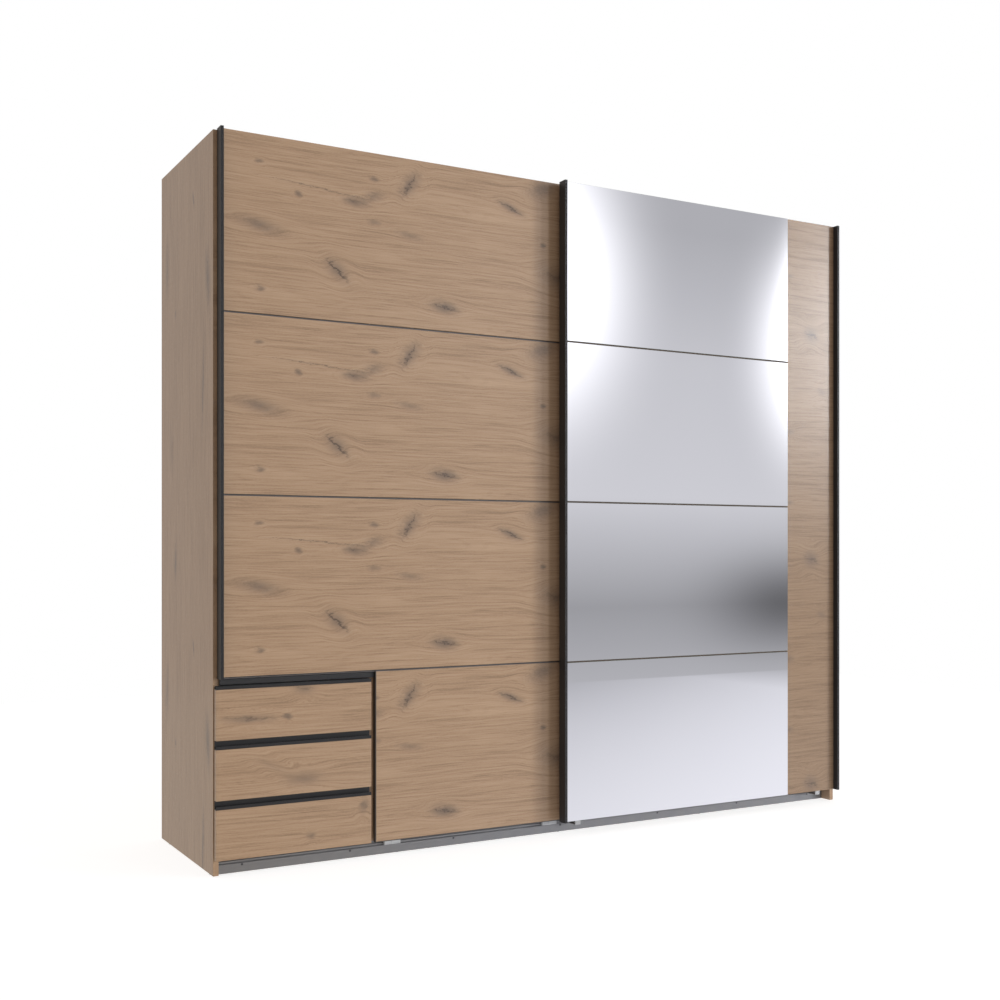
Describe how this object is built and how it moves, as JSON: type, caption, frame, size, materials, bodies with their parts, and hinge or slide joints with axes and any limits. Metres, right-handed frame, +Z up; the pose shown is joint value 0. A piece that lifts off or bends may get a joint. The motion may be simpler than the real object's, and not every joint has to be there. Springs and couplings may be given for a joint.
{
  "type": "sliding door wardrobe",
  "caption": "Sliding door wardrobe: hanging doors on a double track, oak panels over a drawer cut-out, a mirrored door with an oak strip, black grip bars.",
  "frame": {"origin": "centre of the footprint, on the floor", "axes": "+Z up, +X to the right seen from the front, +Y to the wall, so the doors face -Y"},
  "size_m": [2.25, 0.65, 2.08],
  "materials": {
    "oak_front": "knotty oak decor, grain across, satin",
    "oak_side": "knotty oak decor, grain upright, satin",
    "inner_board": "oak decor board, satin",
    "hardboard": "painted hardboard, matt",
    "drawer_board": "light decor board, satin",
    "black_board": "board with a black decor edge",
    "black_profile": "black powder coat, satin",
    "aluminium": "anodised, satin",
    "zinc_steel": "zinc plated",
    "chrome": "polished",
    "white_steel": "white powder coat",
    "white_plastic": "moulded",
    "black_plastic": "moulded",
    "grey_plastic": "moulded",
    "rubber": "matt",
    "mirror": "silvered float glass"
  },
  "bodies": {
    "carcass": {"left_side_panel": "oak_side", "right_side_panel": "oak_side", "centre_partition": "inner_board", "top_panels": "inner_board", "bottom_panels": "inner_board", "plinth_boards": "inner_board", "back_panels": "hardboard", "back_joiners": "white_plastic", "hat_shelves": "inner_board", "shelf_pins": "zinc_steel", "clothes_rails": "chrome", "rail_sockets": "chrome", "top_track": "aluminium", "track_buffers": "rubber", "bottom_rail": "aluminium", "rail_screws": "zinc_steel", "drawer_unit_top": "black_board", "drawer_unit_side": "inner_board", "cabinet_runners": "white_steel", "floor_glides": "black_plastic", "wall_brackets": "zinc_steel"},
    "left_door": {"left_door_panel_1": "oak_front", "left_door_panel_2": "oak_front", "left_door_panel_3": "oak_front", "left_door_panel_4": "oak_front", "left_door_profiles": "aluminium", "left_door_grip": "black_profile", "left_door_stile": "aluminium", "left_door_hangers": "zinc_steel", "left_door_guides": "grey_plastic"},
    "left_wheel_1": {"left_door_wheel_1": "black_plastic"},
    "left_wheel_2": {"left_door_wheel_2": "black_plastic"},
    "right_door": {"right_door_leaf": "oak_front", "right_door_mirror_1": "mirror", "right_door_mirror_2": "mirror", "right_door_mirror_3": "mirror", "right_door_mirror_4": "mirror", "right_door_grips": "black_profile", "right_door_hangers": "zinc_steel", "right_door_guides": "zinc_steel"},
    "right_wheel_1": {"right_door_wheel_1": "black_plastic"},
    "right_wheel_2": {"right_door_wheel_2": "black_plastic"},
    "drawer_1": {"drawer_1_front": "oak_front", "drawer_1_grip": "black_profile", "drawer_1_box": "drawer_board", "drawer_1_runners": "white_steel"},
    "drawer_1_front_roller_pair": {"drawer_1_front_rollers": "white_plastic"},
    "drawer_1_rear_roller_pair": {"drawer_1_rear_rollers": "white_plastic"},
    "drawer_2": {"drawer_2_front": "oak_front", "drawer_2_grip": "black_profile", "drawer_2_box": "drawer_board", "drawer_2_runners": "white_steel"},
    "drawer_2_front_roller_pair": {"drawer_2_front_rollers": "white_plastic"},
    "drawer_2_rear_roller_pair": {"drawer_2_rear_rollers": "white_plastic"},
    "drawer_3": {"drawer_3_front": "oak_front", "drawer_3_grip": "black_profile", "drawer_3_box": "drawer_board", "drawer_3_runners": "white_steel"},
    "drawer_3_front_roller_pair": {"drawer_3_front_rollers": "white_plastic"},
    "drawer_3_rear_roller_pair": {"drawer_3_rear_rollers": "white_plastic"}
  },
  "joints": [
    {"name": "left_door_slide", "type": "slide", "parent": "carcass", "child": "left_door", "axis": [1, 0, 0], "range_m": [0, 1.065]},
    {"name": "right_door_slide", "type": "slide", "parent": "carcass", "child": "right_door", "axis": [1, 0, 0], "range_m": [-1.065, 0]},
    {"name": "left_wheel_1_spin", "type": "hinge", "parent": "left_door", "child": "left_wheel_1", "pos_m": [-1.025, -0.235, 2.0502], "axis": [0, 1, 0], "continuous": true},
    {"name": "left_wheel_2_spin", "type": "hinge", "parent": "left_door", "child": "left_wheel_2", "pos_m": [-0.0565, -0.235, 2.0502], "axis": [0, 1, 0], "continuous": true},
    {"name": "right_wheel_1_spin", "type": "hinge", "parent": "right_door", "child": "right_wheel_1", "pos_m": [0.0565, -0.197, 2.0502], "axis": [0, 1, 0], "continuous": true},
    {"name": "right_wheel_2_spin", "type": "hinge", "parent": "right_door", "child": "right_wheel_2", "pos_m": [1.025, -0.197, 2.0502], "axis": [0, 1, 0], "continuous": true},
    {"name": "drawer_1_slide", "type": "slide", "parent": "carcass", "child": "drawer_1", "axis": [0, -1, 0], "range_m": [0, 0.33]},
    {"name": "drawer_2_slide", "type": "slide", "parent": "carcass", "child": "drawer_2", "axis": [0, -1, 0], "range_m": [0, 0.33]},
    {"name": "drawer_3_slide", "type": "slide", "parent": "carcass", "child": "drawer_3", "axis": [0, -1, 0], "range_m": [0, 0.33]},
    {"name": "drawer_1_front_rollers_spin", "type": "hinge", "parent": "carcass", "child": "drawer_1_front_roller_pair", "pos_m": [-0.8875, -0.2365, 0.41853], "axis": [1, 0, 0], "continuous": true},
    {"name": "drawer_1_rear_rollers_spin", "type": "hinge", "parent": "drawer_1", "child": "drawer_1_rear_roller_pair", "pos_m": [-0.8875, 0.178, 0.41853], "axis": [1, 0, 0], "continuous": true},
    {"name": "drawer_2_front_rollers_spin", "type": "hinge", "parent": "carcass", "child": "drawer_2_front_roller_pair", "pos_m": [-0.8875, -0.2365, 0.25237], "axis": [1, 0, 0], "continuous": true},
    {"name": "drawer_2_rear_rollers_spin", "type": "hinge", "parent": "drawer_2", "child": "drawer_2_rear_roller_pair", "pos_m": [-0.8875, 0.178, 0.25237], "axis": [1, 0, 0], "continuous": true},
    {"name": "drawer_3_front_rollers_spin", "type": "hinge", "parent": "carcass", "child": "drawer_3_front_roller_pair", "pos_m": [-0.8875, -0.2365, 0.0862], "axis": [1, 0, 0], "continuous": true},
    {"name": "drawer_3_rear_rollers_spin", "type": "hinge", "parent": "drawer_3", "child": "drawer_3_rear_roller_pair", "pos_m": [-0.8875, 0.178, 0.0862], "axis": [1, 0, 0], "continuous": true}
  ],
  "couplings": [
    {"joint": "left_wheel_1_spin", "follows": "left_door_slide", "rad_per_m": 71.429},
    {"joint": "left_wheel_2_spin", "follows": "left_door_slide", "rad_per_m": 71.429},
    {"joint": "right_wheel_1_spin", "follows": "right_door_slide", "rad_per_m": 71.429},
    {"joint": "right_wheel_2_spin", "follows": "right_door_slide", "rad_per_m": 71.429},
    {"joint": "drawer_1_front_rollers_spin", "follows": "drawer_1_slide", "rad_per_m": 113.64},
    {"joint": "drawer_1_rear_rollers_spin", "follows": "drawer_1_slide", "rad_per_m": 113.64},
    {"joint": "drawer_2_front_rollers_spin", "follows": "drawer_2_slide", "rad_per_m": 113.64},
    {"joint": "drawer_2_rear_rollers_spin", "follows": "drawer_2_slide", "rad_per_m": 113.64},
    {"joint": "drawer_3_front_rollers_spin", "follows": "drawer_3_slide", "rad_per_m": 113.64},
    {"joint": "drawer_3_rear_rollers_spin", "follows": "drawer_3_slide", "rad_per_m": 113.64}
  ]
}
